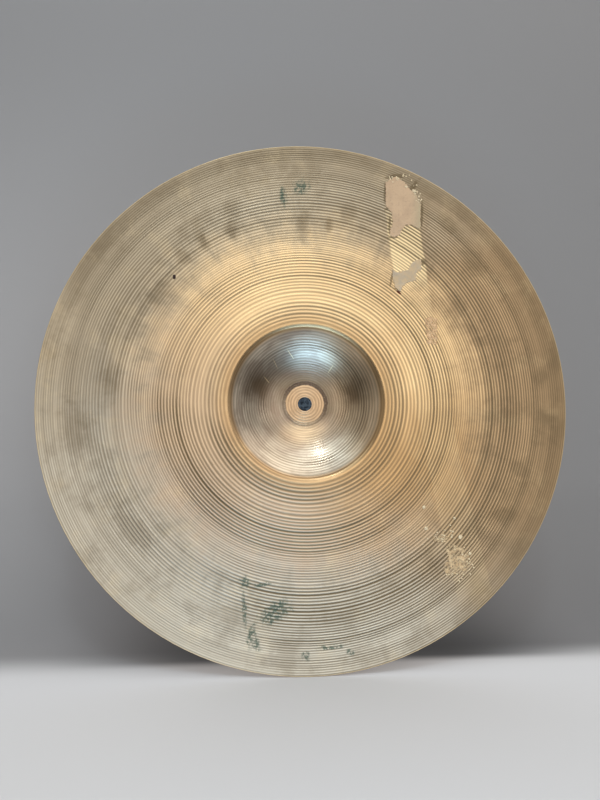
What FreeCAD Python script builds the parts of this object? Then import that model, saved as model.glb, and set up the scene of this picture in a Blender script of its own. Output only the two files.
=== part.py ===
import FreeCAD, Part
import math
import os

# A crash cymbal, one piece of bronze: a domed bell in the middle, a shallow arched bow and a thin
# rounded edge. It stands upright on its edge: the hole's axis runs along Y, the hollow underside
# faces -Y and the outside of the bell faces +Y. The origin is the centre of the mounting hole, half
# way through the wall. Scraps of old masking tape and its glue are still stuck to the underside.
# All sizes are in millimetres.

# Driving dimensions of the bronze.
CYMBAL_DIAMETER = 457.2        # 18 inches
HOLE_DIAMETER = 13.0           # clears the sleeve of a cymbal stand's rod
FELT_SEAT_DIAMETER = 34.0      # flat apex of the bell, where the felt washers press
BELL_DIAMETER = 140.0
BELL_HEIGHT = 21.0
BOW_HEIGHT = 28.0              # rise of the arched bow, were it carried on to the axis
BELL_RIM_RADIUS = 7.0          # round of the crease where the bell turns into the bow
BELL_THICKNESS = 1.2
EDGE_THICKNESS = 0.75

# Thickness of what is stuck to the underside.
TAPE_THICKNESS = 0.3
FILM_THICKNESS = 0.15
GLUE_THICKNESS = 0.2
CRUMB_THICKNESS = 0.6

EDGE_RADIUS = CYMBAL_DIAMETER / 2
BELL_RADIUS = BELL_DIAMETER / 2
HOLE_RADIUS = HOLE_DIAMETER / 2
SEAT_RADIUS = FELT_SEAT_DIAMETER / 2
HALF_WALL = BELL_THICKNESS / 2

# Outlines on the underside, as (x, z) points seen along the axis.
TAPE_STRIP = [
    (70, 199), (71, 186), (71, 179), (76, 174), (78, 165), (76, 158), (75, 153), (79, 151),
    (84, 153), (86, 158), (90, 162), (95, 162), (103, 158), (103, 180), (99, 187), (94, 192),
    (87, 200), (78, 204),
]
TAPE_SCRAP = [
    (78, 122), (83, 119), (89, 121), (93, 122), (96, 128), (101, 131), (104, 130), (105, 127),
    (104, 121), (100, 119), (100, 112), (95, 111), (91, 109), (87, 106), (86, 102), (84, 102),
    (81, 106), (79, 113),
]
TAPE_FILM = [(108, 77), (114, 79), (119, 76), (120, 64), (119, 53), (110, 54), (109, 66)]
GLUE_SMEAR = [
    (119, -127), (126, -125), (137, -128), (139, -139), (134, -151), (128, -149),
    (120, -152), (116, -145), (122, -136),
]
GLUE_LUMP = [(108, -118), (116, -116), (123, -119), (120, -124), (110, -123)]

# Places (x, z) and across-flats sizes of the loose specks of tape and glue.
CRUMBS = [
    (89, 196, 3.0), (96, 192, 3.5), (101, 187, 2.5), (86, 205, 2.0),
    (103, -94, 3.5), (104, -112, 4.0), (129, -103, 3.0), (133, -119, 4.5), (140, -133, 3.0),
]


def centre_to_centre_join(first, first_radius, second, second_radius):
    """The point at the given distances from two centres, on the side away from the axis."""
    gap_r = second[0] - first[0]
    gap_y = second[1] - first[1]
    gap = math.hypot(gap_r, gap_y)
    along = (first_radius ** 2 - second_radius ** 2 + gap ** 2) / (2 * gap)
    across = math.sqrt(first_radius ** 2 - along ** 2)
    foot_r = first[0] + along * gap_r / gap
    foot_y = first[1] + along * gap_y / gap
    sides = [
        (foot_r - across * gap_y / gap, foot_y + across * gap_r / gap),
        (foot_r + across * gap_y / gap, foot_y - across * gap_r / gap),
    ]
    return max(sides)


def towards(start, end, distance):
    """The point that lies the given distance from start on the way to end."""
    length = math.hypot(end[0] - start[0], end[1] - start[1])
    share = distance / length
    return (start[0] + share * (end[0] - start[0]), start[1] + share * (end[1] - start[1]))


def bow_circle(face_y, wall):
    """Centre and radius of the arc of the bow, for the underside (wall 0) or the outside."""
    rise = BOW_HEIGHT * (1 - (BELL_RADIUS / EDGE_RADIUS) ** 2)
    inner = (BELL_RADIUS, face_y - BELL_HEIGHT)
    outer_y = face_y - BELL_HEIGHT - rise + wall * (EDGE_THICKNESS - BELL_THICKNESS)
    outer = (EDGE_RADIUS, outer_y)
    span = outer[0] ** 2 - inner[0] ** 2 + outer[1] ** 2 - inner[1] ** 2
    centre_y = span / (2 * (outer[1] - inner[1]))
    return (0.0, centre_y), math.hypot(inner[0], inner[1] - centre_y)


def wall_face(face_y, bell_growth, wall):
    """The turned outline of one face of the wall: seat, bell, crease and bow, from the hole out.

    Returns the edges, the outer end and the bow's circle.
    """
    width = BELL_RADIUS - SEAT_RADIUS
    bell_radius = (width ** 2 + BELL_HEIGHT ** 2) / (2 * BELL_HEIGHT) + bell_growth
    bell_centre = (SEAT_RADIUS, face_y - bell_radius)
    bow_centre, bow_radius = bow_circle(face_y, wall)
    crease_radius = BELL_RIM_RADIUS - bell_growth
    crease_centre = centre_to_centre_join(
        bell_centre, bell_radius + crease_radius, bow_centre, bow_radius + crease_radius
    )
    seat_start = (HOLE_RADIUS, face_y)
    seat_end = (SEAT_RADIUS, face_y)
    bell_end = towards(bell_centre, crease_centre, bell_radius)
    bow_start = towards(bow_centre, crease_centre, bow_radius)
    bow_end = point_on_circle(bow_centre, bow_radius, EDGE_RADIUS - EDGE_THICKNESS / 2)
    bell_middle = towards(bell_centre, midpoint(seat_end, bell_end), bell_radius)
    crease_middle = towards(crease_centre, midpoint(bell_end, bow_start), crease_radius)
    bow_middle = towards(bow_centre, midpoint(bow_start, bow_end), bow_radius)
    edges = [
        line(seat_start, seat_end),
        arc(seat_end, bell_middle, bell_end),
        arc(bell_end, crease_middle, bow_start),
        arc(bow_start, bow_middle, bow_end),
    ]
    return edges, bow_end, (bow_centre, bow_radius)


def point_on_circle(centre, radius, r):
    """The point of a circle round the axis at distance r from it, on the circle's +Y side."""
    return (r, centre[1] + math.sqrt(radius ** 2 - r ** 2))


def midpoint(first, second):
    return ((first[0] + second[0]) / 2, (first[1] + second[1]) / 2)


def vector(point):
    """A point of the turned outline, (distance from the axis, y), in the XY plane."""
    return FreeCAD.Vector(point[0], point[1], 0)


def line(start, end):
    return Part.LineSegment(vector(start), vector(end)).toShape()


def arc(start, middle, end):
    return Part.Arc(vector(start), vector(middle), vector(end)).toShape()


def make_cymbal():
    """The whole bronze casting, turned about the hole's axis, with a half-round edge."""
    under, under_end, _ = wall_face(-HALF_WALL, 0.0, 0)
    outside, outside_end, _ = wall_face(HALF_WALL, BELL_THICKNESS, 1)
    edge_middle = (EDGE_RADIUS, midpoint(under_end, outside_end)[1])
    edge = arc(under_end, edge_middle, outside_end)
    hole_wall = line((HOLE_RADIUS, -HALF_WALL), (HOLE_RADIUS, HALF_WALL))
    outline = Part.Wire(Part.__sortEdges__(under + [edge] + outside + [hole_wall]))
    axis = FreeCAD.Vector(0, 1, 0)
    return Part.Face(outline).revolve(FreeCAD.Vector(0, 0, 0), axis, 360)


def stuck_on(points, thickness):
    """A thin sheet with the given outline, lying on the curved underside of the bow."""
    _, _, (centre, radius) = wall_face(-HALF_WALL, 0.0, 0)
    front_y = -HALF_WALL - BELL_HEIGHT - BOW_HEIGHT
    corners = [FreeCAD.Vector(x, front_y, z) for x, z in points]
    outline = Part.makePolygon(corners + corners[:1])
    column = Part.Face(outline).extrude(FreeCAD.Vector(0, -front_y, 0))
    middle = FreeCAD.Vector(0, centre[1], 0)
    under_face = Part.makeSphere(radius, middle)
    sheet_face = Part.makeSphere(radius - thickness, middle)
    return column.common(under_face).cut(sheet_face)


def make_crumbs():
    """Loose specks of tape and glue, each a small five-sided solid."""
    specks = []
    for number, (x, z, size) in enumerate(CRUMBS):
        corners = []
        for corner in range(5):
            angle = 2 * math.pi * corner / 5 + number
            reach = size / 2 * (1 + 0.25 * math.sin(3 * angle + number))
            corners.append((x + reach * math.cos(angle), z + reach * math.sin(angle)))
        specks.append(stuck_on(corners, CRUMB_THICKNESS))
    return Part.makeCompound(specks)


def make_glue():
    """The two pale patches of glue low on the right."""
    patches = [stuck_on(points, GLUE_THICKNESS) for points in (GLUE_SMEAR, GLUE_LUMP)]
    return Part.makeCompound(patches)


def main():
    os.makedirs("parts", exist_ok=True)
    parts = {
        "cymbal": make_cymbal(),
        "tape_strip": stuck_on(TAPE_STRIP, TAPE_THICKNESS),
        "tape_scrap": stuck_on(TAPE_SCRAP, TAPE_THICKNESS),
        "tape_film": stuck_on(TAPE_FILM, FILM_THICKNESS),
        "glue_patches": make_glue(),
        "tape_crumbs": make_crumbs(),
    }
    for name, shape in parts.items():
        shape.exportStep(f"parts/{name}.step")
        print(name, len(shape.Solids), "solids", round(shape.Volume, 1), "mm3", shape.isValid())


main()
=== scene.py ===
import math

import bpy
import numpy as np
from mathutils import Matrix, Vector
from mathutils.geometry import delaunay_2d_cdt


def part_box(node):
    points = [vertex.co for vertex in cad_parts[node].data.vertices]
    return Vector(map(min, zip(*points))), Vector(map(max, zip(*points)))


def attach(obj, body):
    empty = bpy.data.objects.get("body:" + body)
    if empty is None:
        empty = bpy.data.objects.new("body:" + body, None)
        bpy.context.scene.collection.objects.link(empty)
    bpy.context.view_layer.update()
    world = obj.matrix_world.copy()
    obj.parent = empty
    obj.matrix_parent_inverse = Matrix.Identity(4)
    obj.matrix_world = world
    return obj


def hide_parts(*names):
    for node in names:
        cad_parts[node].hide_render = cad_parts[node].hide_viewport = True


# A used bronze crash cymbal, upright on its edge and seen from its hollow underside. The axis of
# its hole is Y, the underside faces -Y and the bell's outside faces +Y. All lengths are in metres.

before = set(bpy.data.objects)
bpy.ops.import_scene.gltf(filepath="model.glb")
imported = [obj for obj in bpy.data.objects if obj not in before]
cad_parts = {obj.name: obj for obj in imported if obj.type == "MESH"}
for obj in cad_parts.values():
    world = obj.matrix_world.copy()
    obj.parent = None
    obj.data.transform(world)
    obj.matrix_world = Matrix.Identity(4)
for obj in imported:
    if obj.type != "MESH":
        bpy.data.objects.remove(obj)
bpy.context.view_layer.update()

MM = 0.001
CYMBAL_LOW, CYMBAL_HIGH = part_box("cymbal")
EDGE_RADIUS = CYMBAL_HIGH.x
BELL_WALL = 2 * CYMBAL_HIGH.y
EDGE_WALL = 0.75 * MM
RIM_Y = CYMBAL_LOW.y
HOLE_RADIUS = 6.5 * MM
HOLE_ROUNDING = 0.25 * MM
SEAT_RADIUS = 17 * MM
BELL_RADIUS = 70 * MM
BELL_HEIGHT = 21 * MM
CREASE_RADIUS = 7 * MM

# Inside this radius, the lathe cut deepest on the side at this angle from X towards Z.
DEEP_CUT_END = 160 * MM
DEEP_CUT_SIDE = math.radians(-112)

# The mesh: divisions round the axis, and rows of points across one turned groove.
SEGMENTS = 124
UNDERSIDE_ROWS = 5
OUTSIDE_ROWS = 4
EDGE_ROWS = 5

# The points that the outline of one face is drawn with: seat, bell, crease and bow.
SEAT_STEPS, BELL_STEPS, CREASE_STEPS, BOW_STEPS = 12, 400, 60, 1200

# How single grooves differ: how far one strays, as a share of a groove, and its least and most
# depth, as shares of the listed one.
GROOVE_WANDER = 0.13
GROOVE_GAIN = (0.55, 1.3)
UNDERSIDE_SEED = 5
OUTSIDE_SEED = 9

# The radii of the rings of hammer dents, and the dents' spacing round a ring.
DENT_RINGS = np.arange(84, 222, 13.5) * MM
DENT_SPACING = 19 * MM

# Turned grooves by distance from the axis: (radius mm, groove to groove mm, depth mm).
UNDERSIDE_GROOVES = [
    (8, 2.6, 0.05), (16, 2.4, 0.09), (26, 2.3, 0.04), (40, 2.3, 0.08), (56, 2.6, 0.1),
    (64, 3.0, 0.04), (72, 3.3, 0.08), (80, 3.4, 0.14), (100, 3.4, 0.14), (108, 2.8, 0.17),
    (124, 2.7, 0.16), (132, 2.4, 0.12), (142, 1.8, 0.07), (150, 2.2, 0.1), (162, 2.7, 0.17),
    (186, 2.6, 0.17), (198, 2.0, 0.13), (215, 1.8, 0.11), (226, 1.9, 0.12),
]
OUTSIDE_GROOVES = [
    (18, 2.8, 0.0), (30, 2.8, 0.02), (58, 2.8, 0.03), (66, 3.6, 0.02), (80, 3.3, 0.09),
    (150, 3.0, 0.09), (200, 2.8, 0.07), (226, 3.0, 0.04),
]


# ---- The turned outline -------------------------------------------------------------------------

def circle_join(first, first_radius, second, second_radius):
    """The outer of the two points at the given distances from two centres."""
    gap = second - first
    length = np.hypot(*gap)
    along = (first_radius ** 2 - second_radius ** 2 + length ** 2) / (2 * length)
    across = math.sqrt(first_radius ** 2 - along ** 2)
    foot = first + gap * along / length
    side = np.array([-gap[1], gap[0]]) * across / length
    return max(foot + side, foot - side, key=lambda point: point[0])


def arc_points(centre, start, end, count):
    """Points along the short arc about centre from start to end, without the last one."""
    first = math.atan2(*(start - centre)[::-1])
    last = math.atan2(*(end - centre)[::-1])
    radius = np.hypot(*(start - centre))
    angles = np.linspace(first, last, count, endpoint=False)
    return centre + radius * np.stack([np.cos(angles), np.sin(angles)], axis=1)


def bow_arc(face_y, rim_y):
    """Centre and radius of a face's bow, an arc about a point on the axis."""
    bell_y = face_y - BELL_HEIGHT
    span = EDGE_RADIUS ** 2 - BELL_RADIUS ** 2 + rim_y ** 2 - bell_y ** 2
    centre_y = span / (2 * (rim_y - bell_y))
    return centre_y, math.hypot(BELL_RADIUS, bell_y - centre_y)


def face_outline(face_y, growth, rim_y):
    """One face as (distance from the axis, y) points: flat seat, bell, crease and bow."""
    width = BELL_RADIUS - SEAT_RADIUS
    bell_arc_radius = (width ** 2 + BELL_HEIGHT ** 2) / (2 * BELL_HEIGHT) + growth
    bell_centre = np.array([SEAT_RADIUS, face_y - bell_arc_radius])
    bow_y, bow_radius = bow_arc(face_y, rim_y)
    bow_centre = np.array([0.0, bow_y])
    crease = CREASE_RADIUS - growth
    crease_centre = circle_join(
        bell_centre, bell_arc_radius + crease, bow_centre, bow_radius + crease
    )
    to_crease = crease_centre - bell_centre
    bell_end = bell_centre + to_crease * bell_arc_radius / np.hypot(*to_crease)
    from_bow = crease_centre - bow_centre
    bow_start = bow_centre + from_bow * bow_radius / np.hypot(*from_bow)
    end_radius = EDGE_RADIUS - EDGE_WALL / 2
    bow_end = np.array([end_radius, bow_y + math.sqrt(bow_radius ** 2 - end_radius ** 2)])
    seat_start = np.array([HOLE_RADIUS + HOLE_ROUNDING, face_y])
    seat_end = np.array([SEAT_RADIUS, face_y])
    return np.vstack([
        np.linspace(seat_start, seat_end, SEAT_STEPS, endpoint=False),
        arc_points(bell_centre, seat_end, bell_end, BELL_STEPS),
        arc_points(crease_centre, bell_end, bow_start, CREASE_STEPS),
        arc_points(bow_centre, bow_start, bow_end, BOW_STEPS),
        bow_end[None],
    ])


def groove_rows(outline, grooves, rows_per_groove, seed):
    """Rows of one face: (distance from axis, y, normal r, normal y, groove depth, groove number)."""
    radius_mm, pitch_mm, depth_mm = (np.array(column) for column in zip(*grooves))
    steps = np.hypot(*np.diff(outline, axis=0).T)
    along = np.concatenate([[0.0], np.cumsum(steps)])
    pitch = np.interp(outline[:, 0] / MM, radius_mm, pitch_mm) * MM
    groove = np.concatenate([[0.0], np.cumsum(steps / (0.5 * (pitch[1:] + pitch[:-1])))])
    row_groove = np.arange(0, groove[-1], 1 / rows_per_groove)
    row_groove = np.append(row_groove, groove[-1])
    row_along = np.interp(row_groove, groove, along)
    dice = np.random.default_rng(seed)
    whole = np.arange(int(groove[-1]) + 3)
    wander = dice.uniform(-GROOVE_WANDER, GROOVE_WANDER, len(whole))
    gain = dice.uniform(*GROOVE_GAIN, len(whole))
    r = np.interp(row_along, along, outline[:, 0])
    y = np.interp(row_along, along, outline[:, 1])
    slope = np.gradient(outline, axis=0)
    slope /= np.hypot(*slope.T)[:, None]
    tangent_r = np.interp(row_along, along, slope[:, 0])
    tangent_y = np.interp(row_along, along, slope[:, 1])
    wave = 0.5 - 0.5 * np.cos(2 * math.pi * (row_groove + np.interp(row_groove, whole, wander)))
    deepest = np.interp(r / MM, radius_mm, depth_mm) * MM
    depth = deepest * wave ** 1.2 * np.interp(row_groove, whole, gain)
    return np.stack([r, y, -tangent_y, tangent_r, depth, row_groove], axis=1)


# ---- The bronze ---------------------------------------------------------------------------------

def hammering(x, z):
    """Shallow dents left by the hammer, in rings between the bell and the edge."""
    dice = np.random.default_rng(41)
    height = np.zeros_like(x)
    for ring_radius in DENT_RINGS:
        count = int(2 * math.pi * ring_radius / DENT_SPACING)
        for number in range(count):
            angle = 2 * math.pi * (number + dice.uniform(-0.3, 0.3)) / count
            radius = ring_radius + dice.uniform(-4, 4) * MM
            deep = dice.uniform(0.02, 0.09) * MM
            reach = dice.uniform(6, 9) * MM
            gap = (x - radius * math.cos(angle)) ** 2 + (z - radius * math.sin(angle)) ** 2
            height += deep * np.exp(-gap / (2 * reach ** 2))
    return height


def ring_of_points(rows, angles, cut_sign):
    """The rows turned about the axis. cut_sign says which way along y the grooves are cut."""
    r, y, normal_r, normal_y, depth, groove = rows.T[:, :, None]
    uneven = 1 + 0.22 * np.sin(3 * angles + groove * 0.31) + 0.16 * np.sin(7 * angles - groove * 0.17)
    inner = np.clip((DEEP_CUT_END - r) / (30 * MM), 0, 1)
    uneven = uneven + 0.8 * inner * np.maximum(0, np.cos(angles - DEEP_CUT_SIDE)) ** 3
    cut = depth * uneven * cut_sign
    out_r = r + normal_r * cut
    x = out_r * np.cos(angles)
    z = out_r * np.sin(angles)
    return x, y + normal_y * cut, z


def half_round(under_end, outside_end, count):
    """The rounded edge of the wall, between the ends of the two faces."""
    middle = (under_end + outside_end) / 2
    half = np.hypot(*(outside_end - under_end)) / 2
    angles = np.linspace(-math.pi / 2, math.pi / 2, count + 2)[1:-1]
    return np.stack([middle[0] + half * np.cos(angles), middle[1] + half * np.sin(angles)], axis=1)


def plain_rows(points):
    """Rows with no groove, for the edge and the hole."""
    rows = np.zeros((len(points), 6))
    rows[:, :2] = points
    return rows


def hole_wall():
    """The wall of the hole with its two worn corners, from the outside back to the underside."""
    corner = HOLE_ROUNDING
    turns = np.linspace(0, math.pi / 2, 4)
    top = [(HOLE_RADIUS + corner * (1 - math.sin(a)), BELL_WALL / 2 - corner * (1 - math.cos(a)))
           for a in turns[1:]]
    bottom = [(r, -y) for r, y in reversed(top)]
    return np.array(top + bottom)


def make_cymbal():
    """One closed mesh: grooved underside, rounded edge, grooved outside and the hole's wall."""
    under = face_outline(-BELL_WALL / 2, 0.0, RIM_Y)
    outside = face_outline(BELL_WALL / 2, BELL_WALL, RIM_Y + EDGE_WALL)
    under_rows = groove_rows(under, UNDERSIDE_GROOVES, UNDERSIDE_ROWS, UNDERSIDE_SEED)
    outside_rows = groove_rows(outside, OUTSIDE_GROOVES, OUTSIDE_ROWS, OUTSIDE_SEED)[::-1]
    edge_rows = plain_rows(half_round(under[-1], outside[-1], EDGE_ROWS))
    angles = np.linspace(0, 2 * math.pi, SEGMENTS, endpoint=False)
    tables = [under_rows, edge_rows, outside_rows, plain_rows(hole_wall())]
    cut_signs = [1, 1, -1, 1]
    parts = [ring_of_points(table, angles, sign) for table, sign in zip(tables, cut_signs)]
    x, y, z = (np.vstack(axis) for axis in zip(*parts))
    y = y + hammering(x, z)
    rows = len(x)
    points = np.stack([x, y, z], axis=2).reshape(-1, 3)
    here = np.arange(rows)[:, None] * SEGMENTS + np.arange(SEGMENTS)
    right = np.roll(here, -1, axis=1)
    quads = np.stack([here, right, np.roll(right, -1, axis=0), np.roll(here, -1, axis=0)], axis=2)
    mesh = bpy.data.meshes.new("bronze")
    mesh.from_pydata(points.tolist(), [], quads.reshape(-1, 4).tolist())
    depth_mm = mesh.attributes.new("groove_depth", "FLOAT", "POINT")
    depth_mm.data.foreach_set("value", np.repeat(np.vstack(tables)[:, 4], SEGMENTS) / MM)
    outside_start = len(under_rows)
    outside_end = outside_start + len(edge_rows) + len(outside_rows)
    face_row = np.repeat(np.arange(rows), SEGMENTS)
    is_outside = (face_row >= outside_start) & (face_row < outside_end)
    mesh.polygons.foreach_set("material_index", is_outside.astype(np.int32))
    mesh.polygons.foreach_set("use_smooth", np.ones(len(face_row), bool))
    cymbal = bpy.data.objects.new("cymbal_bronze", mesh)
    bpy.context.scene.collection.objects.link(cymbal)
    mesh.materials.append(underside_bronze())
    mesh.materials.append(outside_bronze())
    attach(cymbal, "root")
    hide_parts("cymbal")


# ---- Node helpers -------------------------------------------------------------------------------

class NodeTree:
    """A node tree, with one short call for each kind of node that is used here."""

    def __init__(self, tree):
        self.tree = tree

    def source(self, kind, output):
        """One output of a new node, by name or number."""
        return self.tree.nodes.new(kind).outputs[output]

    def link(self, value, socket):
        if isinstance(value, bpy.types.NodeSocket):
            self.tree.links.new(value, socket)
        else:
            socket.default_value = value

    def math(self, operation, first, second=0.0, clamp=False):
        node = self.tree.nodes.new("ShaderNodeMath")
        node.operation = operation
        node.use_clamp = clamp
        self.link(first, node.inputs[0])
        self.link(second, node.inputs[1])
        return node.outputs[0]

    def vector(self, operation, first, second=(0.0, 0.0, 0.0)):
        node = self.tree.nodes.new("ShaderNodeVectorMath")
        node.operation = operation
        self.link(first, node.inputs[0])
        self.link(second, node.inputs[1])
        return node.outputs["Value" if operation in ("LENGTH", "DOT_PRODUCT") else "Vector"]

    def split(self, vector):
        """The x, y and z of a vector."""
        node = self.tree.nodes.new("ShaderNodeSeparateXYZ")
        self.link(vector, node.inputs[0])
        return node.outputs

    def mix(self, factor, first, second):
        """A colour that goes from first to second as factor goes from 0 to 1."""
        node = self.tree.nodes.new("ShaderNodeMix")
        node.data_type = "RGBA"
        self.link(factor, node.inputs["Factor"])
        self.link(first, node.inputs[6])
        self.link(second, node.inputs[7])
        return node.outputs[2]

    def ramp(self, value, low, high, low_value=0.0, high_value=1.0, kind="LINEAR"):
        """A rise from low_value to high_value as value goes from low to high."""
        node = self.tree.nodes.new("ShaderNodeMapRange")
        node.interpolation_type = kind
        self.link(value, node.inputs["Value"])
        self.link(low, node.inputs["From Min"])
        self.link(high, node.inputs["From Max"])
        self.link(low_value, node.inputs["To Min"])
        self.link(high_value, node.inputs["To Max"])
        return node.outputs["Result"]

    def steps(self, value, low, high, low_value=0.0, high_value=1.0):
        """The same rise, smoothed at both ends."""
        return self.ramp(value, low, high, low_value, high_value, "SMOOTHSTEP")


class Nodes(NodeTree):
    """A material's node tree. Masks and colours read the object's own x and z."""

    def __init__(self, name):
        self.material = bpy.data.materials.new(name)
        self.material.use_nodes = True
        super().__init__(self.material.node_tree)
        self.shader = self.tree.nodes["Principled BSDF"]
        self.position = self.source("ShaderNodeTexCoord", "Object")
        self.place = self.vector("MULTIPLY", self.position, (1.0, 0.0, 1.0))
        self.radius = self.vector("LENGTH", self.place)

    def tint(self, colour, tone, mask, strength):
        """The colour with the tone laid over it, at full strength where the mask is 1."""
        return self.mix(self.math("MULTIPLY", mask, strength), colour, tone)

    def along(self, direction):
        """How far a point lies along a direction, in metres."""
        return self.vector("DOT_PRODUCT", self.place, direction)

    def plus(self, value, other, share):
        """The value plus a share of another."""
        return self.math("ADD", value, self.math("MULTIPLY", other, share))

    def stray(self, noise, reach):
        """Noise made into a shift of up to half of reach to either side."""
        return self.math("MULTIPLY", self.math("SUBTRACT", noise, 0.5), reach)

    def noise(self, size, detail=3.0, roughness=0.55, where=None, stretch=(1.0, 1.0, 1.0)):
        """Cloudy noise from 0 to 1 whose blotches are about size across."""
        coordinates = self.vector("MULTIPLY", where or self.place, stretch)
        node = self.tree.nodes.new("ShaderNodeTexNoise")
        node.inputs["Scale"].default_value = 1 / size
        node.inputs["Detail"].default_value = detail
        node.inputs["Roughness"].default_value = roughness
        self.link(coordinates, node.inputs["Vector"])
        return node.outputs["Fac"]

    def polar(self, radial_size, round_size):
        """Coordinates that stretch a noise along the turning direction."""
        heading = self.split(self.vector("NORMALIZE", self.place))
        node = self.tree.nodes.new("ShaderNodeCombineXYZ")
        self.link(self.math("MULTIPLY", heading["X"], 1 / round_size), node.inputs["X"])
        self.link(self.math("MULTIPLY", self.radius, 1 / radial_size), node.inputs["Y"])
        self.link(self.math("MULTIPLY", heading["Z"], 1 / round_size), node.inputs["Z"])
        return node.outputs[0]

    def patch(self, centre, size, turn, ragged, grain=6.0, soft=0.35):
        """A ragged-edged oval mask. centre and size are (x, z) in mm, turn is in degrees."""
        node = self.tree.nodes.new("ShaderNodeMapping")
        node.vector_type = "TEXTURE"
        node.inputs["Location"].default_value = (centre[0] * MM, 0, centre[1] * MM)
        node.inputs["Rotation"].default_value = (0, math.radians(-turn), 0)
        node.inputs["Scale"].default_value = (size[0] * MM, 1.0, size[1] * MM)
        self.link(self.place, node.inputs["Vector"])
        reach = self.vector("LENGTH", node.outputs[0])
        torn = self.stray(self.noise(grain * MM), 2 * ragged)
        return self.steps(self.math("ADD", reach, torn), 1.0, 1.0 - soft)

    def patches(self, marks, ragged, grain, soft=0.35):
        """One mask for several marks, each a centre, a size and a turn."""
        return self.either([self.patch(*mark, ragged, grain, soft) for mark in marks])

    def either(self, masks):
        """The strongest of several masks."""
        strongest = masks[0]
        for mask in masks[1:]:
            strongest = self.math("MAXIMUM", strongest, mask)
        return strongest

    def bump(self, height, distance, strength):
        node = self.tree.nodes.new("ShaderNodeBump")
        node.inputs["Strength"].default_value = strength
        node.inputs["Distance"].default_value = distance
        self.link(height, node.inputs["Height"])
        return node.outputs[0]

    def set(self, name, value):
        self.link(value, self.shader.inputs[name])


# ---- Materials ----------------------------------------------------------------------------------

# Colours of the bronze, from clean to tarnished.
CLEAN_GOLD = (0.98, 0.76, 0.43, 1.0)
GOLD_AND_PAINTED_SHEEN = (0.90, 0.63, 0.33, 1.0)
GOLD = (0.54, 0.33, 0.15, 1.0)
ROSE = (0.60, 0.43, 0.265, 1.0)
PALE_ROSE = (0.52, 0.39, 0.275, 1.0)
UMBER = (0.47, 0.315, 0.175, 1.0)
CHESTNUT = (0.46, 0.385, 0.275, 1.0)
SLATE = (0.38, 0.37, 0.325, 1.0)
SAGE = (0.57, 0.52, 0.42, 1.0)
BELL_RIM = (0.78, 0.66, 0.50, 1.0)
BELL_BROWN = (0.33, 0.26, 0.19, 1.0)
BELL_DARK = (0.26, 0.175, 0.13, 1.0)
BELL_TAN = (0.86, 0.60, 0.33, 1.0)
# Painted light on the bell's lower wall.
BELL_PAINTED_LIGHT = (0.66, 0.48, 0.29, 1.0)
# Painted dark reflections on the bell's two side walls.
BELL_REFLECTED_SHADE = (0.17, 0.105, 0.055, 1.0)
COPPER = (0.54, 0.36, 0.21, 1.0)
GRIME = (0.07, 0.045, 0.04, 1.0)
INK_GREEN = (0.03, 0.06, 0.045, 1.0)
# Red-brown glue, darkened by the painted shadow of the scrap's lifted tip.
RED_GLUE_AND_SHADOW = (0.10, 0.035, 0.025, 1.0)
# Dirt, also used for painted shade in the grooves and above the hub.
DIRT_AND_SHADE = (0.11, 0.08, 0.045, 1.0)

# Colours of the tape and the glue.
TAPE_BEIGE = (0.52, 0.345, 0.20, 1.0)
TAPE_STAIN = (0.44, 0.29, 0.17, 1.0)
TAPE_CREST = (0.62, 0.44, 0.28, 1.0)
TAPE_SPECK = (0.30, 0.20, 0.12, 1.0)
TAPE_GREY_SIDE = (0.36, 0.31, 0.18, 1.0)
SCRAP_GREY = (0.38, 0.29, 0.19, 1.0)
SCRAP_GLUE = (0.50, 0.335, 0.17, 1.0)
SCRAP_FIBRE = (0.60, 0.46, 0.30, 1.0)
FILM_COLOURS = ((0.58, 0.34, 0.16, 1.0), (0.66, 0.41, 0.21, 1.0))
GLUE_COLOURS = ((0.49, 0.32, 0.155, 1.0), (0.68, 0.50, 0.28, 1.0))
SPECK_COLOURS = ((0.55, 0.42, 0.25, 1.0), (0.76, 0.62, 0.40, 1.0))

GLOSS_STRETCH = 0.55
METAL_ROUGHNESS = 0.27
PAPER_ROUGHNESS = 0.9

# Directions from the axis along which the underside's patina, dirt and painted groove shade change.
LEFT = (-1.0, 0.0, 0.0)
LOWER_LEFT = (-0.45, 0.0, -0.89)
UPPER_LEFT = (-0.45, 0.0, 0.89)
FINE_LEFT = (-0.87, 0.0, -0.5)
DARKEST_GROOVES_LEFT = (-0.5, 0.0, -0.87)
TOP = (0.30, 0.0, 0.95)
BELL_RIGHT = (0.98, 0.0, 0.2)
WASHER_TOP = (0.4, 0.0, 0.92)

# The stripe that tape once covered: where its middle crosses the height of the hole, how far it
# leans over for each millimetre of height, and half its width.
STRIPE_MIDDLE = 114 * MM
STRIPE_LEAN = -0.163
STRIPE_HALF_WIDTH = 15 * MM

# Marks on the underside, old ones and painted light and shade: (x mm, z mm), (half width mm, half height
# mm), turn in degrees and, for the smudges, how dark they are.
SMUDGES = [
    ((-94, 143), (8, 13), 20, 0.65), ((-69, 152), (8, 12), 14, 0.6), ((-70, 172), (18, 9), 14, 0.4),
    ((-112, 128), (9, 11), 38, 0.4), ((-4, 163), (8, 18), 2, 0.5), ((19, 160), (5, 14), -4, 0.55),
    ((36, 172), (11, 12), -10, 0.35), ((-130, 92), (18, 12), 50, 0.4), ((187, -61), (13, 15), 0, 0.4),
    ((172, -100), (16, 13), 20, 0.4), ((211, -17), (12, 15), 0, 0.45), ((221, 40), (7, 26), 0, 0.4),
    ((208, 22), (9, 11), 0, 0.4), ((152, 126), (10, 24), 40, 0.4), ((128, 160), (10, 17), 40, 0.35),
    ((-196, -28), (16, 38), 8, 0.35), ((-172, 14), (12, 26), 0, 0.3), ((-60, -182), (36, 12), -18, 0.3),
    ((-148, -110), (36, 15), -50, 0.35),
]
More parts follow.
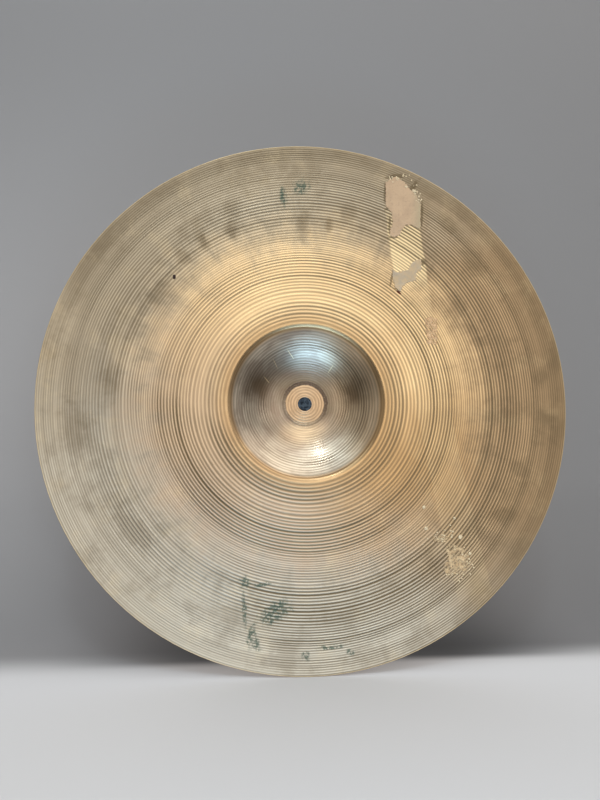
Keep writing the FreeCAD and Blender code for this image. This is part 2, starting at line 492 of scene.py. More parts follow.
INK_MARKS = [
    ((-23, 185), (4.5, 11), 12), ((-6, 194), (10, 8), 20), ((-54, -155), (7, 6), 30),
    ((-38, -157), (9, 2.5), 8), ((-54, -178), (2.4, 20), 4), ((-48, -197), (5, 11), -14),
    ((-28, -179), (19, 10), 28), ((-44, -203), (4, 8), 20), ((-3, -213), (4, 5), 20),
    ((34, -211), (5, 3), 0), ((18, -207), (14, 2.5), 4),
]
DARK_SPOTS = [((-119, 109), (1.6, 2.4), 0)]
# Painted dark reflections on the bell's two side walls.
BELL_REFLECTED_SHADE_PATCHES = [((44, 11), (17, 21), 0), ((-43, 15), (17, 21), 0)]
# Painted light on the bell's lower wall.
BELL_PAINTED_LIGHT_PATCH = ((-1, -25), (30, 20), 15)
# Red-brown glue under the scrap's lifted tip, with its shadow painted in.
GLUE_AND_TIP_SHADOW = ((84.5, 101), (3.2, 1.1), -38)

# Hair scratches inside the bell: (x mm, z mm), (half width mm, half length mm), turn in degrees.
SCRATCHES = [
    ((-14, 46), (0.35, 7), 38), ((-28, 37), (0.35, 6), 28),
    ((24, 33), (0.35, 6), 148), ((-36, 22), (0.35, 5), 42),
]
# Dark lines along the edges of the tape and the scrap: (x mm, z mm), (half width mm, half length mm), turn
# in degrees.
TAPE_EDGE_LINES = [
    ((70, 190), (1.6, 12), 0), ((73, 177), (4, 1.4), 30), ((75, 162), (1.5, 11), 0),
    ((80, 204.5), (11, 3), 4), ((95, 195), (3, 11), -40), ((104, 172), (1.6, 16), 0),
    ((79, 151), (6, 1.5), 0), ((106, 129), (3.5, 4), 0), ((77.5, 113), (1.4, 9), -8),
]


def turned_metal(nodes):
    """What both faces share: bare metal whose gloss is drawn out across the turning marks."""
    tangent = nodes.tree.nodes.new("ShaderNodeTangent")
    tangent.direction_type = "RADIAL"
    tangent.axis = "Y"
    nodes.set("Metallic", 1.0)
    nodes.set("Anisotropic", GLOSS_STRETCH)
    nodes.set("Anisotropic Rotation", 0.25)
    nodes.set("Tangent", tangent.outputs[0])


def turning_marks(nodes):
    """Fine arcs that the turning tool left, from 0 to 1."""
    fine = nodes.noise(1.0, 2.0, 0.6, nodes.polar(1.1 * MM, 0.5))
    broad = nodes.noise(1.0, 2.0, 0.6, nodes.polar(2.3 * MM, 0.9))
    return nodes.plus(nodes.math("MULTIPLY", fine, 0.6), broad, 0.4)


def groove_share(nodes, full_depth):
    """How dark a turned groove is painted, for the dirt and the painted shade in it, from 0 on the crest
    to 1 at a deep bottom.
    """
    depth = nodes.tree.nodes.new("ShaderNodeAttribute")
    depth.attribute_name = "groove_depth"
    share = nodes.math("DIVIDE", depth.outputs["Fac"], full_depth, clamp=True)
    return nodes.math("POWER", share, 0.6)


def ring_mask(nodes, radius, inner, outer, soft):
    """A mask that is 1 between two distances from the axis, with soft borders."""
    rise = nodes.steps(radius, inner - soft, inner + soft)
    fall = nodes.steps(radius, outer - soft, outer + soft, 1.0, 0.0)
    return nodes.math("MULTIPLY", rise, fall)


def towards(nodes, direction, drift, start, end):
    """A mask that rises from start to end metres along a direction, with a wandering border."""
    return nodes.steps(nodes.math("ADD", nodes.along(direction), drift), start, end)


def fine_side(nodes):
    """The outer left, where the grooves are painted lighter."""
    return towards(nodes, FINE_LEFT, 0.0, 0.115, 0.155)


def patina(nodes):
    """The colour of the tarnished bronze, with its masks for the aged outer part and the left.

    It is golden inside and brightest above the bell, where the brighter gold is partly painted sheen.
    Outwards it is umber, with slate on the left, sage low down, chestnut at the upper left and a duller
    outermost ring.
    """
    wipes = nodes.noise(1.0, 4.0, 0.65, nodes.polar(30 * MM, 0.13))
    drift = nodes.stray(nodes.noise(55 * MM, 4.0), 0.10)
    left = towards(nodes, LEFT, drift, -0.07, 0.09)
    low = towards(nodes, LOWER_LEFT, drift, 0.0, 0.15)
    inner = nodes.mix(left, GOLD, ROSE)
    inner = nodes.mix(low, inner, PALE_ROSE)
    # Brighter gold above the bell: partly the metal's colour, partly painted sheen.
    inner = nodes.mix(towards(nodes, TOP, drift, -0.03, 0.10), inner, GOLD_AND_PAINTED_SHEEN)
    outer = nodes.mix(left, UMBER, SLATE)
    outer = nodes.mix(low, outer, SAGE)
    outer = nodes.mix(towards(nodes, UPPER_LEFT, drift, 0.02, 0.15), outer, CHESTNUT)
    age = nodes.steps(nodes.math("ADD", nodes.radius, nodes.stray(wipes, 0.06)), 0.114, 0.182)
    colour = nodes.mix(age, inner, outer)
    colour = nodes.tint(colour, DIRT_AND_SHADE, nodes.steps(wipes, 0.45, 0.68, 0.0, 0.3), age)
    colour = nodes.mix(nodes.steps(nodes.radius, 0.072, 0.088, 0.7, 0.0), colour, GOLD)
    outer_left = fine_side(nodes)
    spared = nodes.either([outer_left, nodes.math("MULTIPLY", low, low)])
    dull = nodes.steps(nodes.radius, 0.190, 0.226, 0.0, 0.5)
    colour = nodes.tint(colour, DIRT_AND_SHADE, dull, nodes.math("SUBTRACT", 1.0, spared))
    colour = nodes.tint(colour, DIRT_AND_SHADE, outer_left, 0.18)
    pale = nodes.steps(nodes.noise(30 * MM, 4.0, 0.65), 0.5, 0.7, 0.0, 0.12)
    return nodes.mix(pale, colour, CLEAN_GOLD), age, left


def stripe_mask(nodes):
    """Where the metal was long covered by tape, cleanest in the part that was bared last."""
    middle = nodes.along((1.0, 0.0, -STRIPE_LEAN))
    off = nodes.math("ABSOLUTE", nodes.math("SUBTRACT", middle, STRIPE_MIDDLE))
    off = nodes.math("ADD", off, nodes.stray(nodes.noise(9 * MM), 3 * MM))
    band = nodes.steps(off, STRIPE_HALF_WIDTH + 0.8 * MM, STRIPE_HALF_WIDTH - 1.2 * MM)
    height = nodes.along((0.0, 0.0, 1.0))
    bared = nodes.steps(height, 0.100, 0.124, 0.14, 0.9)
    end = nodes.steps(nodes.math("ABSOLUTE", height), 0.150, 0.185, 1.0, 0.0)
    return nodes.math("MULTIPLY", band, nodes.math("MULTIPLY", bared, end))


def smudges(nodes):
    """Where fingers and dirt have dulled the metal."""
    masks = []
    for at, size, turn, strength in SMUDGES:
        masks.append(nodes.math("MULTIPLY", nodes.patch(at, size, turn, 0.8, 12.0, 0.8), strength))
    return nodes.either(masks)


def green_specks(nodes):
    """Broken green specks and dashes where old ink has corroded."""
    grains = nodes.steps(nodes.noise(2.8 * MM, 3.0, 0.6), 0.44, 0.53, 0.2, 1.0)
    return nodes.math("MULTIPLY", grains, nodes.patches(INK_MARKS, 0.7, 5.0, 0.6))


def bell_colour(nodes):
    """The darker metal inside the bell: mottled, tan on the right, with painted light low down and painted
    dark reflections on its two sides.
    """
    mottle = nodes.steps(nodes.noise(1.0, 4.0, 0.6, nodes.polar(9 * MM, 0.5)), 0.42, 0.62)
    colour = nodes.mix(nodes.steps(nodes.radius, 0.032, 0.064), BELL_BROWN, BELL_RIM)
    colour = nodes.tint(colour, BELL_DARK, mottle, 0.45)
    colour = nodes.tint(colour, BELL_TAN, towards(nodes, BELL_RIGHT, 0.0, 0.015, 0.05), 0.6)
    # Painted light on the lower wall of the bell.
    colour = nodes.tint(colour, BELL_PAINTED_LIGHT, nodes.patch(*BELL_PAINTED_LIGHT_PATCH, 0.15, 9.0, 0.9), 0.8)
    # Painted dark reflections on the bell's two side walls.
    return nodes.tint(colour, BELL_REFLECTED_SHADE, nodes.patches(BELL_REFLECTED_SHADE_PATCHES, 0.4, 12.0, 0.9), 0.75)


def washer_mark(nodes, colour):
    """The felt washer's print over the colour: copper, a ring of grime and a painted shade above it."""
    near = nodes.math("ADD", nodes.radius, nodes.stray(nodes.noise(4 * MM, 4.0), 2.6 * MM))
    # Painted shade on the upper side of the hub, darkest next to the washer.
    upper = nodes.steps(nodes.along(WASHER_TOP), -0.016, 0.008)
    colour = nodes.tint(colour, DIRT_AND_SHADE, nodes.steps(near, 22 * MM, 34 * MM, 0.55, 0.0), upper)
    colour = nodes.mix(nodes.steps(near, 18.4 * MM, 17.6 * MM), colour, COPPER)
    crumbly = nodes.steps(nodes.noise(1.8 * MM, 3.0), 0.3, 0.55, 0.35, 1.0)
    washer = ring_mask(nodes, near, 18.2 * MM, 21.6 * MM, 0.7 * MM)
    washer = nodes.math("MULTIPLY", washer, nodes.math("MAXIMUM", upper, 0.45))
    return nodes.tint(colour, GRIME, washer, crumbly)


def groove_dirt_and_shade(nodes, left):
    """How dark the grooves are painted, for dirt and painted shade in them: most towards the lower left,
    least at the outer left.
    """
    groove_darkness = nodes.steps(left, 0.0, 1.0, 0.92, 0.72)
    groove_darkness = nodes.math("MAXIMUM", groove_darkness, towards(nodes, DARKEST_GROOVES_LEFT, 0.0, 0.02, 0.07))
    groove_darkness = nodes.math("MULTIPLY", groove_darkness, nodes.plus(1.0, fine_side(nodes), -0.5))
    return nodes.math("MULTIPLY", groove_share(nodes, 0.15), groove_darkness)


def underside_bronze():
    """The turned underside, with patina, the bared stripe, the washer's mark and a darker bell, and with
    painted light and shade in the bell, above the hub and in the grooves.
    """
    nodes = Nodes("bronze_underside")
    turned_metal(nodes)
    marks = turning_marks(nodes)
    colour, age, left = patina(nodes)
    colour = nodes.mix(stripe_mask(nodes), colour, CLEAN_GOLD)
    colour = nodes.mix(smudges(nodes), colour, DIRT_AND_SHADE)
    # Dark lines along the edges of the tape and the scrap.
    colour = nodes.tint(colour, DIRT_AND_SHADE, nodes.patches(TAPE_EDGE_LINES, 0.7, 2.4, 0.5), 0.75)
    bell = nodes.steps(nodes.radius, 0.0655, 0.0685, 1.0, 0.0)
    colour = nodes.mix(bell, colour, bell_colour(nodes))
    colour = washer_mark(nodes, colour)
    # Dirt in the grooves, with painted shade in them.
    colour = nodes.mix(groove_dirt_and_shade(nodes, left), colour, DIRT_AND_SHADE)
    colour = nodes.mix(nodes.steps(marks, 0.4, 0.62, 0.0, 0.22), colour, DIRT_AND_SHADE)
    colour = nodes.tint(colour, CLEAN_GOLD, nodes.patches(SCRATCHES, 0.1, 3.0, 0.5), 0.7)
    spots = nodes.patches(DARK_SPOTS, 0.3, 3.0)
    colour = nodes.mix(spots, colour, GRIME)
    # Red-brown glue with the painted shadow of the scrap's lifted tip.
    colour = nodes.mix(nodes.patch(*GLUE_AND_TIP_SHADOW, 0.4, 2.0), colour, RED_GLUE_AND_SHADOW)
    colour = nodes.tint(colour, INK_GREEN, green_specks(nodes), 0.75)
    colour = nodes.mix(nodes.steps(nodes.radius, 0.2275, 0.2281, 0.0, 0.25), colour, CLEAN_GOLD)
    nodes.set("Base Color", colour)
    rough = nodes.plus(METAL_ROUGHNESS, age, 0.05)
    rough = nodes.plus(rough, nodes.noise(24 * MM, 3.0), 0.08)
    rough = nodes.plus(rough, bell, -0.02)
    nodes.set("Roughness", nodes.plus(rough, spots, 0.4))
    nodes.set("Normal", nodes.bump(marks, 0.02 * MM, 0.6))
    return nodes.material


def outside_bronze():
    """The turned outside, polished by handling, with tarnish in the grooves and finger marks."""
    nodes = Nodes("bronze_outside")
    turned_metal(nodes)
    marks = turning_marks(nodes)
    cloud = nodes.noise(40 * MM, 5.0, 0.62)
    prints = nodes.noise(13 * MM, 3.0, 0.6)
    colour = nodes.mix(nodes.steps(cloud, 0.38, 0.66), GOLD, ROSE)
    colour = nodes.mix(nodes.steps(nodes.radius, 0.14, 0.226, 0.0, 0.5), colour, UMBER)
    colour = nodes.mix(nodes.steps(prints, 0.56, 0.7, 0.0, 0.3), colour, SAGE)
    colour = nodes.tint(colour, DIRT_AND_SHADE, groove_share(nodes, 0.1), 0.45)
    colour = nodes.mix(nodes.steps(marks, 0.4, 0.62, 0.0, 0.22), colour, DIRT_AND_SHADE)
    colour = nodes.mix(nodes.steps(nodes.radius, 0.2272, 0.2279, 0.0, 0.7), colour, GOLD)
    washer = nodes.plus(nodes.radius, prints, 1.5 * MM)
    colour = nodes.mix(ring_mask(nodes, washer, 19 * MM, 21.5 * MM, 0.6 * MM), colour, GRIME)
    nodes.set("Base Color", colour)
    rough = nodes.plus(METAL_ROUGHNESS, cloud, 0.1)
    nodes.set("Roughness", nodes.math("ADD", rough, nodes.steps(prints, 0.5, 0.7, 0.0, 0.1)))
    nodes.set("Normal", nodes.bump(marks, 0.02 * MM, 0.6))
    return nodes.material


def masking_tape():
    """Creped paper gone beige, dirty at its right edge."""
    nodes = Nodes("masking_tape")
    stain = nodes.noise(11 * MM, 4.0, 0.6)
    crepe = nodes.noise(0.9 * MM, 3.0, 0.6, stretch=(0.35, 1.0, 1.0))
    colour = nodes.mix(nodes.steps(stain, 0.35, 0.7), TAPE_BEIGE, TAPE_STAIN)
    colour = nodes.tint(colour, TAPE_CREST, crepe, 0.3)
    specks = nodes.steps(nodes.noise(2.0 * MM, 3.0, 0.6), 0.52, 0.68, 0.0, 0.3)
    colour = nodes.mix(specks, colour, TAPE_SPECK)
    grey_side = nodes.steps(nodes.along((1.0, 0.0, 0.0)), 0.092, 0.104, 0.0, 0.5)
    nodes.set("Base Color", nodes.mix(grey_side, colour, TAPE_GREY_SIDE))
    nodes.set("Roughness", nodes.plus(0.62, stain, 0.25))
    nodes.set("Normal", nodes.bump(crepe, 0.12 * MM, 0.7))
    return nodes.material


def grey_tape():
    """The torn scrap, greyer, with glue showing through."""
    nodes = Nodes("grey_tape")
    stain = nodes.noise(6 * MM, 4.0, 0.6)
    fibre = nodes.noise(0.8 * MM, 3.0, 0.6, stretch=(1.0, 1.0, 0.4))
    colour = nodes.mix(nodes.steps(stain, 0.35, 0.65), SCRAP_GREY, SCRAP_GLUE)
    nodes.set("Base Color", nodes.tint(colour, SCRAP_FIBRE, fibre, 0.3))
    nodes.set("Roughness", 0.6)
    nodes.set("Normal", nodes.bump(fibre, 0.12 * MM, 0.7))
    return nodes.material


def dried_glue(name, colours, opacity):
    """A thin film of yellowed glue. opacity is that of its thinnest places."""
    nodes = Nodes(name)
    mottle = nodes.noise(3.5 * MM, 4.0, 0.65)
    nodes.set("Base Color", nodes.mix(nodes.steps(mottle, 0.35, 0.65), *colours))
    nodes.set("Roughness", nodes.plus(0.35, mottle, 0.3))
    nodes.set("Alpha", nodes.steps(nodes.noise(5.0 * MM, 5.0, 0.7), 0.40, 0.6, opacity, 1.0))
    nodes.set("Normal", nodes.bump(mottle, 0.1 * MM, 0.4))
    return nodes.material


# ---- Tape and glue ------------------------------------------------------------------------------

# Outlines on the underside, as (x, z) in millimetres.
TAPE_STRIP = [
    (70, 199), (71, 186), (71, 179), (76, 174), (78, 165), (76, 158), (75, 153), (79, 151),
    (84, 153), (86, 158), (90, 162), (95, 162), (103, 158), (103, 180), (99, 187), (94, 192),
    (87, 200), (78, 204),
]
TAPE_SCRAP = [
    (78, 122), (83, 119), (89, 121), (93, 122), (96, 128), (101, 131), (104, 130), (105, 127),
    (104, 121), (100, 119), (100, 112), (95, 111), (91, 109), (87, 106), (86, 102), (84, 102),
    (81, 106), (79, 113),
]
TAPE_FILM = [(108, 77), (114, 79), (119, 76), (120, 64), (119, 53), (110, 54), (109, 66)]
GLUE_SMEAR = [
    (119, -127), (126, -125), (137, -128), (139, -139), (134, -151), (128, -149),
    (120, -152), (116, -145), (122, -136),
]
GLUE_LUMP = [(108, -118), (116, -116), (123, -119), (120, -124), (110, -123)]

# Loose specks, (x, z, size) in millimetres, and the areas that finer ones are strewn over:
# two ends (x, z) of a line, how far they stray from it, and how many there are.
CRUMBS = [
    (89, 196, 3.0), (96, 192, 3.5), (101, 187, 2.5), (86, 205, 2.0),
    (103, -94, 3.5), (104, -112, 4.0), (129, -103, 3.0), (133, -119, 4.5), (140, -133, 3.0),
]
STREWN = [
    ((71, 202), (90, 203), 1.6, 26), ((92, 199), (103, 183), 1.6, 22),
    ((108, -122), (126, -114), 3.0, 26), ((136, -127), (140, -148), 2.0, 20),
    ((117, -150), (134, -153), 2.2, 18),
]

BURIED = 0.2 * MM              # how far the pieces reach into the grooved metal
TEAR = 0.3 * MM                # how far a torn edge strays from its outline
EDGE_STEP = 1.1 * MM           # between the points of a torn edge
SHEET_STEP = 0.9 * MM          # between the points inside it
CURL_START = 110 * MM          # height below which the scrap's tip stands off the metal
CURL_LENGTH = 8 * MM
CURL_LIFT = 1.5 * MM
LIFTED = 0.001 * MM            # a sheet that stands off by more than this isn't buried
LUMP_ROWS, LUMP_SIDES = 5, 9   # rings of points in a speck, and the points in one


class Underside:
    """The bow's underside, on which the pieces of tape lie."""

    def __init__(self):
        outline = face_outline(-BELL_WALL / 2, 0.0, RIM_Y)
        self.centre_y, self.radius = bow_arc(-BELL_WALL / 2, RIM_Y)
        self.rows = groove_rows(outline, UNDERSIDE_GROOVES, UNDERSIDE_ROWS, UNDERSIDE_SEED)

    def height(self, x, z):
        """The y of the ungrooved surface."""
        return self.centre_y + np.sqrt(self.radius ** 2 - x ** 2 - z ** 2)

    def groove(self, x, z):
        """The depth of the turned groove."""
        return np.interp(np.hypot(x, z), self.rows[:, 0], self.rows[:, 4])


def torn_edge(points, dice):
    """The outline in small steps with a ragged edge, in metres."""
    ragged = []
    for start, end in zip(points, points[1:] + points[:1]):
        start, end = np.array(start) * MM, np.array(end) * MM
        count = max(1, round(np.hypot(*(end - start)) / EDGE_STEP))
        for step in range(count):
            ragged.append(start + (end - start) * step / count + dice.normal(0, TEAR, 2))
    return ragged


def fill(edge, dice):
    """Triangles that fill the edge, as points (x, z) and index triples."""
    low, high = np.min(edge, axis=0), np.max(edge, axis=0)
    across = np.arange(low[0], high[0], SHEET_STEP)
    upward = np.arange(low[1], high[1], SHEET_STEP)
    grid = np.array([(x, z) for x in across for z in upward])
    inner = grid + dice.uniform(-0.3, 0.3, grid.shape) * SHEET_STEP
    points = [Vector(point) for point in [*edge, *inner]]
    outline = list(range(len(edge)))
    made = delaunay_2d_cdt(points, [], [outline], 1, 1e-7)
    used = sorted({corner for face in made[2] for corner in face})
    number = {corner: index for index, corner in enumerate(used)}
    faces = [tuple(number[corner] for corner in face) for face in made[2]]
    return np.array([made[0][corner] for corner in used]), faces


def closed_sheet(points, faces, top_y, bottom_y):
    """Vertices and faces of a thin closed sheet with the two given heights."""
    count = len(points)
    top = np.stack([points[:, 0], top_y, points[:, 1]], axis=1)
    bottom = np.stack([points[:, 0], bottom_y, points[:, 1]], axis=1)
    sides = {}
    for face in faces:
        for start, end in zip(face, face[1:] + face[:1]):
            if (end, start) in sides:
                del sides[(end, start)]
            else:
                sides[(start, end)] = True
    walls = [(end, start, start + count, end + count) for start, end in sides]
    under = [tuple(corner + count for corner in reversed(face)) for face in faces]
    return np.vstack([top, bottom]), faces + under + walls


def finish_piece(name, points, faces, material, node):
    """Make the piece that takes the place of a CAD node."""
    mesh = bpy.data.meshes.new(name)
    mesh.from_pydata(points.tolist(), [], faces)
    mesh.polygons.foreach_set("use_smooth", np.ones(len(faces), bool))
    mesh.validate()
    piece = bpy.data.objects.new(name, mesh)
    bpy.context.scene.collection.objects.link(piece)
    mesh.materials.append(material)
    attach(piece, "root")
    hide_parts(node)


def sheet(outlines, thickness, wrinkle, seed, curl=None):
    """Vertices and faces of one or more torn sheets pressed on to the grooved underside."""
    dice = np.random.default_rng(seed)
    metal = Underside()
    all_points, all_faces, total = [], [], 0
    for outline in outlines:
        points, faces = fill(torn_edge(outline, dice), dice)
        x, z = points.T
        surface = metal.height(x, z) + 0.45 * metal.groove(x, z)
        creases = np.sin(x / (1.9 * MM) + 2.2 * np.sin(z / (9 * MM)))
        creases += np.sin(z / (2.6 * MM) + 1.7 * np.sin(x / (7 * MM)))
        lift = curl(z) if curl else np.zeros_like(x)
        height = thickness + wrinkle * (0.5 * creases + dice.normal(0, 0.35, len(x)))
        top = surface - np.maximum(height, 0.3 * thickness) - lift
        bottom = np.where(lift < LIFTED, surface + BURIED, surface - 0.1 * thickness - lift)
        made, made_faces = closed_sheet(points, faces, top, bottom)
        all_points.append(made)
        all_faces += [tuple(corner + total for corner in face) for face in made_faces]
        total += len(made)
    return np.vstack(all_points), all_faces


def tip_curl(z):
    """How far the scrap's lower tip stands off the metal."""
    rise = np.clip((CURL_START - z) / CURL_LENGTH, 0, 1)
    return CURL_LIFT * rise ** 2


def lumps(specks, seed):
    """Small rough lumps on the underside, as one set of vertices and faces."""
    dice = np.random.default_rng(seed)
    metal = Underside()
    all_points, all_faces = [], []
    for x, z, size in specks:
        first = len(all_points)
        high = dice.uniform(0.25, 0.5) * MM
        centre_y = float(metal.height(np.array(x * MM), np.array(z * MM)))
        for row in range(LUMP_ROWS):
            polar = math.pi * (row + 0.5) / LUMP_ROWS
            for turn in range(LUMP_SIDES):
                angle = 2 * math.pi * turn / LUMP_SIDES
                reach = size / 2 * MM * math.sin(polar) * dice.uniform(0.7, 1.15)
                y = centre_y - high * math.cos(polar) * dice.uniform(0.75, 1.1)
                place = (x * MM + reach * math.cos(angle), y, z * MM + reach * math.sin(angle))
                all_points.append(place)
        for row in range(LUMP_ROWS - 1):
            start = first + row * LUMP_SIDES
            for turn in range(LUMP_SIDES):
                here = start + turn
                beside = start + (turn + 1) % LUMP_SIDES
                all_faces.append((here, here + LUMP_SIDES, beside + LUMP_SIDES, beside))
        all_faces.append(tuple(range(first, first + LUMP_SIDES)))
        last = first + (LUMP_ROWS - 1) * LUMP_SIDES
        all_faces.append(tuple(reversed(range(last, last + LUMP_SIDES))))
    return np.array(all_points), all_faces


def strewn_specks(seed):
    """Fine specks round the torn edges, as (x, z, size) in millimetres."""
    dice = np.random.default_rng(seed)
    specks = []
    for start, end, stray, count in STREWN:
        for _ in range(count):
            at = np.array(start) + dice.uniform(0, 1) * (np.array(end) - np.array(start))
            x, z = at + dice.normal(0, stray, 2)
            specks.append((x, z, dice.uniform(0.7, 2.0)))
    return specks


def make_tape():
    points, faces = sheet([TAPE_STRIP], 0.25 * MM, 0.05 * MM, 11)
    finish_piece("tape_strip_paper", points, faces, masking_tape(), "tape_strip")
    points, faces = sheet([TAPE_SCRAP], 0.3 * MM, 0.1 * MM, 12, tip_curl)
    finish_piece("tape_scrap_paper", points, faces, grey_tape(), "tape_scrap")
    points, faces = sheet([TAPE_FILM], 0.12 * MM, 0.03 * MM, 13)
    film = dried_glue("tape_film", FILM_COLOURS, 0.15)
    finish_piece("tape_film_sheet", points, faces, film, "tape_film")
    points, faces = sheet([GLUE_SMEAR, GLUE_LUMP], 0.2 * MM, 0.03 * MM, 14)
    glue = dried_glue("old_glue", GLUE_COLOURS, 0.0)
    finish_piece("glue_patch_smears", points, faces, glue, "glue_patches")
    points, faces = lumps(CRUMBS + strewn_specks(15), 16)
    speck = dried_glue("glue_speck", SPECK_COLOURS, 1.0)
    finish_piece("tape_crumb_lumps", points, faces, speck, "tape_crumbs")


# ---- Surroundings -------------------------------------------------------------------------------

FLOOR_Z = CYMBAL_LOW.z
FLOOR_PALE = (0.60, 0.59, 0.58, 1.0)
# The backdrop's grey with painted light falloff: lighter on the left, darker on the right and at the top.
BACKDROP_LIT_LEFT = (0.365, 0.355, 0.35, 1.0)
BACKDROP_SHADED_RIGHT = (0.215, 0.21, 0.207, 1.0)
BACKDROP_SHADED_TOP = (0.195, 0.19, 0.188, 1.0)
SHADE = (0.02, 0.02, 0.02, 1.0)
# The dark and pale of the painted shadow that the camera sees through the hole.
HOLE_SHADOW_DARK = (0.03, 0.05, 0.08, 1.0)
HOLE_SHADOW_PALE = (0.13, 0.20, 0.28, 1.0)

# The sweep's gap behind the cymbal, the radius of its bend, its height and half its width.
SWEEP_GAP, SWEEP_BEND, SWEEP_HEIGHT, SWEEP_HALF_WIDTH = 0.02, 0.12, 1.9, 2.4
SWEEP_STEPS = 12
PAPER_LIFT = 0.5 * MM
FLOOR_REACH = 3.0

# The painted shadow on the sweep that the camera sees through the hole: (x mm, z mm), size, turn.
HOLE_SHADOW_PATCH = ((12.5, 14.5), (15, 15), 0)

# The strength of the surroundings' light: least and most by height, what is added beside and
# behind the cymbal, the even grey that the camera sees, and how far down it is darkest.
DIM, BRIGHT = 0.13, 0.34
SIDE_GLOW = 0.28
CAMERA_GREY = 0.3
DARK_DIP = 0.25
WORLD_COLOUR = (1.0, 1.0, 1.03, 1.0)

CAMERA_PLACE = (-0.0487, -0.5466, -0.0569)
CAMERA_DIRECTION = (0.0801, 0.9907, 0.1102)
CAMERA_LENS = 26.5


def stage_mesh(name, points, faces, material):
    mesh = bpy.data.meshes.new(name)
    mesh.from_pydata(points, [], faces)
    mesh.polygons.foreach_set("use_smooth", np.ones(len(faces), bool))
    obj = bpy.data.objects.new(name, mesh)
    bpy.context.scene.collection.objects.link(obj)
    mesh.materials.append(material)
    return obj


def floor_paper():
    nodes = Nodes("floor_paper")
    nodes.set("Base Color", FLOOR_PALE)
    nodes.set("Roughness", PAPER_ROUGHNESS)
    return nodes.material


def make_floor():
    corners = [(-1, -1), (1, -1), (1, 1), (-1, 1)]
    points = [(x * FLOOR_REACH, y * FLOOR_REACH, FLOOR_Z) for x, y in corners]
    floor = stage_mesh("floor", points, [(0, 1, 2, 3)], floor_paper())
    floor.visible_glossy = False


def make_backdrop():
    """A grey sweep close behind the cymbal, seen from the front only, which hides no light."""
    profile = [(CYMBAL_LOW.y + 1.5 * MM, FLOOR_Z + PAPER_LIFT)]
    for step in range(SWEEP_STEPS + 1):
        angle = math.pi / 2 * step / SWEEP_STEPS
        y = CYMBAL_HIGH.y + SWEEP_GAP + SWEEP_BEND * math.sin(angle)
        z = FLOOR_Z + SWEEP_BEND * (1 - math.cos(angle)) + PAPER_LIFT
        profile.append((y, z))
    profile.append((CYMBAL_HIGH.y + SWEEP_GAP + SWEEP_BEND, FLOOR_Z + SWEEP_HEIGHT))
    points = [(side * SWEEP_HALF_WIDTH, y, z) for y, z in profile for side in (-1, 1)]
    faces = [(2 * i, 2 * i + 1, 2 * i + 3, 2 * i + 2) for i in range(len(profile) - 1)]
    stage_mesh("backdrop", points, faces, backdrop_paper())


def contact_shade(nodes, place):
    """The cymbal's soft shade on the paper, below it and just behind it."""
    contact = nodes.steps(place["Y"], -0.020, 0.002)
    sideways = nodes.math("ABSOLUTE", nodes.math("SUBTRACT", place["X"], 0.03))
    beside = nodes.steps(sideways, 0.10, 0.27, 0.86, 0.0)
    behind = nodes.steps(place["Y"], 0.01, 0.15, 1.0, 0.0)
    return nodes.math("MULTIPLY", nodes.math("MULTIPLY", contact, beside), behind)


def show_front_only(nodes):
    """Make the material clear for all but the camera, and for the camera from behind."""
    reverse = nodes.source("ShaderNodeNewGeometry", "Backfacing")
    seen = nodes.source("ShaderNodeLightPath", "Is Camera Ray")
    choose = nodes.tree.nodes.new("ShaderNodeMixShader")
    nodes.link(nodes.math("MULTIPLY", seen, nodes.math("SUBTRACT", 1.0, reverse)), choose.inputs[0])
    nodes.link(nodes.source("ShaderNodeBsdfTransparent", 0), choose.inputs[1])
    nodes.link(nodes.shader.outputs[0], choose.inputs[2])
    nodes.link(choose.outputs[0], nodes.tree.nodes["Material Output"].inputs["Surface"])


def backdrop_paper():
    """Grey paper with painted light falloff and painted shade near the floor, pale where it meets the
    floor, with the cymbal's painted shade and a painted shadow behind its hole.
    """
    nodes = Nodes("backdrop_paper")
    place = nodes.split(nodes.position)
    # Painted light falloff: lighter to the left, darker to the right and at the top, and painted shade
    # near the floor.
    grey = nodes.mix(nodes.steps(place["X"], -0.5, 0.5), BACKDROP_LIT_LEFT, BACKDROP_SHADED_RIGHT)
    grey = nodes.mix(nodes.steps(place["Z"], 0.0, 0.5, 0.0, 0.7), grey, BACKDROP_SHADED_TOP)
    grey = nodes.mix(nodes.steps(place["Z"], FLOOR_Z, -0.06, 0.3, 0.0), grey, SHADE)
    colour = nodes.mix(nodes.steps(place["Y"], -0.035, 0.03), FLOOR_PALE, grey)
    colour = nodes.mix(contact_shade(nodes, place), colour, SHADE)
    # The painted shadow seen through the hole, dark and mottled.
    mottled = nodes.steps(nodes.noise(5 * MM, 3.0), 0.4, 0.6)
    painted_hole_shadow = nodes.mix(mottled, HOLE_SHADOW_DARK, HOLE_SHADOW_PALE)
    nodes.set("Base Color", nodes.mix(nodes.patch(*HOLE_SHADOW_PATCH, 0.0), colour, painted_hole_shadow))
    nodes.set("Roughness", PAPER_ROUGHNESS)
    show_front_only(nodes)
    return nodes.material


def aim(obj, target):
    obj.rotation_mode = "QUATERNION"
    direction = Vector(target) - obj.location
    obj.rotation_quaternion = direction.to_track_quat("-Z", "Y")


def softbox(name, place, target, size, power, colour=(1.0, 0.98, 0.95), spread=180):
    """A rectangular soft light. size is its width and height, spread its beam in degrees."""
    data = bpy.data.lights.new(name, "AREA")
    data.shape = "RECTANGLE"
    data.size, data.size_y = size
    data.energy = power
    data.color = colour
    data.spread = math.radians(spread)
    light = bpy.data.objects.new(name, data)
    light.location = place
    light.visible_camera = False
    bpy.context.scene.collection.objects.link(light)
    aim(light, target)


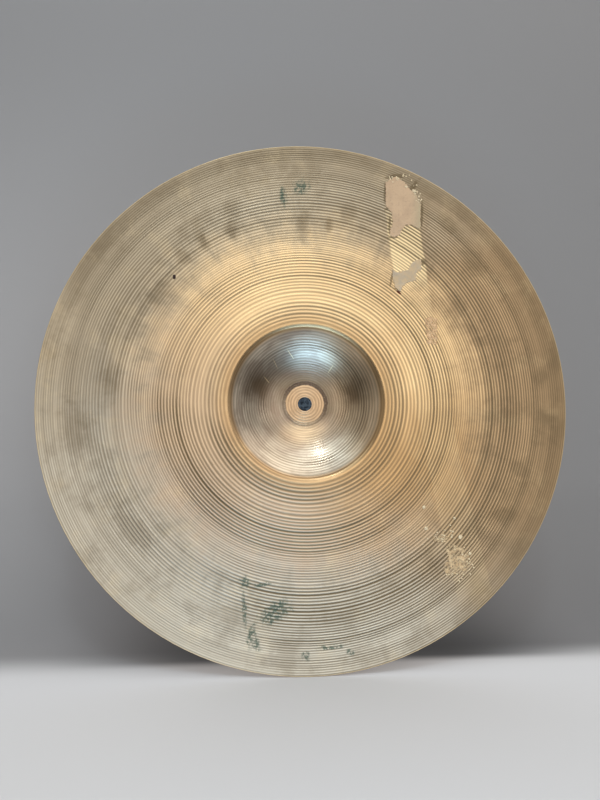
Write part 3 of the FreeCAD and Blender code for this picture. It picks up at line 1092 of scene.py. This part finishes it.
def make_lights():
    softbox("overhead", (0.6, -0.7, 1.15), (0, 0, 0), (1.7, 1.2), 9)
    softbox("fill", (-0.25, -0.95, 0.95), (0, 0, 0), (1.1, 0.6), 4.2, (0.7, 0.86, 1.0))
    softbox("key", (-0.12, -1.0, 0.92), (0, 0, -0.02), (0.1, 0.13), 1.7, (0.8, 0.92, 1.0))
    softbox("front", (0.2, -1.9, 0.5), (0, 0, 0.3), (1.45, 1.3), 9.5)
    softbox("side", (1.0, -1.75, 0.45), (0, 0, 0), (0.12, 0.3), 0.6)
    below = (0.0, -0.42, FLOOR_Z + 0.02)
    softbox("bounce", below, (0, -0.01, 0.03), (0.26, 0.14), 0.075, (0.36, 0.64, 1.0), 50)
    softbox("low_fill", below, (0, -0.01, 0.03), (0.16, 0.14), 0.5, (0.46, 0.65, 0.86))
    softbox("rear", (-0.9, 1.6, 0.35), (0, 0, 0), (1.2, 1.0), 4)
    bpy.context.scene.world = studio_world()


def studio_world():
    """Dim surroundings, darkest just below the horizon, and an even grey for the camera."""
    world = bpy.data.worlds.new("studio")
    world.use_nodes = True
    nodes = NodeTree(world.node_tree)
    heading = nodes.split(nodes.source("ShaderNodeTexCoord", "Generated"))
    off_dark = nodes.math("ABSOLUTE", nodes.math("ADD", heading["Z"], DARK_DIP))
    by_height = nodes.ramp(off_dark, 0.12, 0.38, DIM, BRIGHT)
    strength = nodes.math("ADD", by_height, nodes.ramp(heading["Y"], -0.6, -0.3, 0.0, SIDE_GLOW))
    choose = nodes.tree.nodes.new("ShaderNodeMix")
    nodes.link(nodes.source("ShaderNodeLightPath", "Is Camera Ray"), choose.inputs["Factor"])
    nodes.link(strength, choose.inputs["A"])
    nodes.link(CAMERA_GREY, choose.inputs["B"])
    background = nodes.tree.nodes["Background"]
    nodes.link(WORLD_COLOUR, background.inputs["Color"])
    nodes.link(choose.outputs["Result"], background.inputs["Strength"])
    return world


def make_camera():
    data = bpy.data.cameras.new("camera")
    data.lens = CAMERA_LENS
    camera = bpy.data.objects.new("camera", data)
    camera.location = CAMERA_PLACE
    bpy.context.scene.collection.objects.link(camera)
    aim(camera, camera.location + Vector(CAMERA_DIRECTION))
    bpy.context.scene.camera = camera


bpy.context.scene.view_settings.view_transform = "Standard"
make_camera()
make_lights()
make_floor()
make_backdrop()
make_cymbal()
make_tape()
